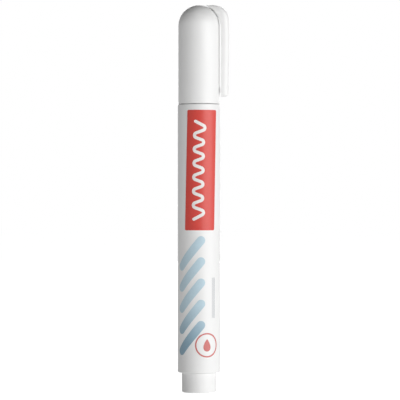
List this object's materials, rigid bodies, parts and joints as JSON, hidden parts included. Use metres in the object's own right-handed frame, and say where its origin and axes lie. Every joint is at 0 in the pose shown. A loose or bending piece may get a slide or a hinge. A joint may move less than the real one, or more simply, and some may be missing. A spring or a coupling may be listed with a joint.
{
  "type": "correction pen",
  "caption": "Slim correction pen that stands on its tail: a tubular barrel with a spring-loaded metal tip, a loose mixing ball inside and a push-on cap with a pocket clip.",
  "frame": {"origin": "centre of the flat foot of the tail plug, on the pen's axis", "axes": "+Z along the pen from its tail to its cap, +X towards the pocket clip"},
  "size_m": [0.0183, 0.0151, 0.137],
  "materials": {
    "white_plastic": "satin white plastic",
    "red_film": "thin printed film, red",
    "natural_plastic": "uncoloured plastic",
    "seal_rubber": "soft grey rubber",
    "nickel": "turned, nickel plated",
    "steel": "bright stainless steel"
  },
  "bodies": {
    "pen_body": {"barrel": "white_plastic", "tail_plug": "white_plastic", "label_panel": "red_film", "tip_holder": "white_plastic", "metal_tip": "nickel", "spring_seat": "natural_plastic", "valve_spring": "steel"},
    "needle": {"valve_needle": "steel"},
    "ball": {"mixing_ball": "steel"},
    "cap": {"cap_shell": "white_plastic", "inner_cap": "natural_plastic", "tip_seal": "seal_rubber"},
    "clip": {"pocket_clip": "white_plastic"}
  },
  "joints": [
    {"name": "cap_slide", "type": "slide", "parent": "pen_body", "child": "cap", "axis": [0, 0, 1], "range_m": [0, 0.03]},
    {"name": "clip_flex", "type": "hinge", "parent": "cap", "child": "clip", "pos_m": [0.00219, 0, 0.13556], "axis": [0, -1, 0], "range_deg": [0, 5], "stiffness_Nm_per_rad": 1.3},
    {"name": "needle_press", "type": "slide", "parent": "pen_body", "child": "needle", "axis": [0, 0, 1], "range_m": [-0.0004, 0], "stiffness_N_per_m": 150, "springref_m": 0.0015, "deforming": ["valve_spring"]},
    {"name": "ball_slide", "type": "slide", "parent": "pen_body", "child": "ball", "axis": [0, 0, 1], "range_m": [0, 0.0965]}
  ]
}
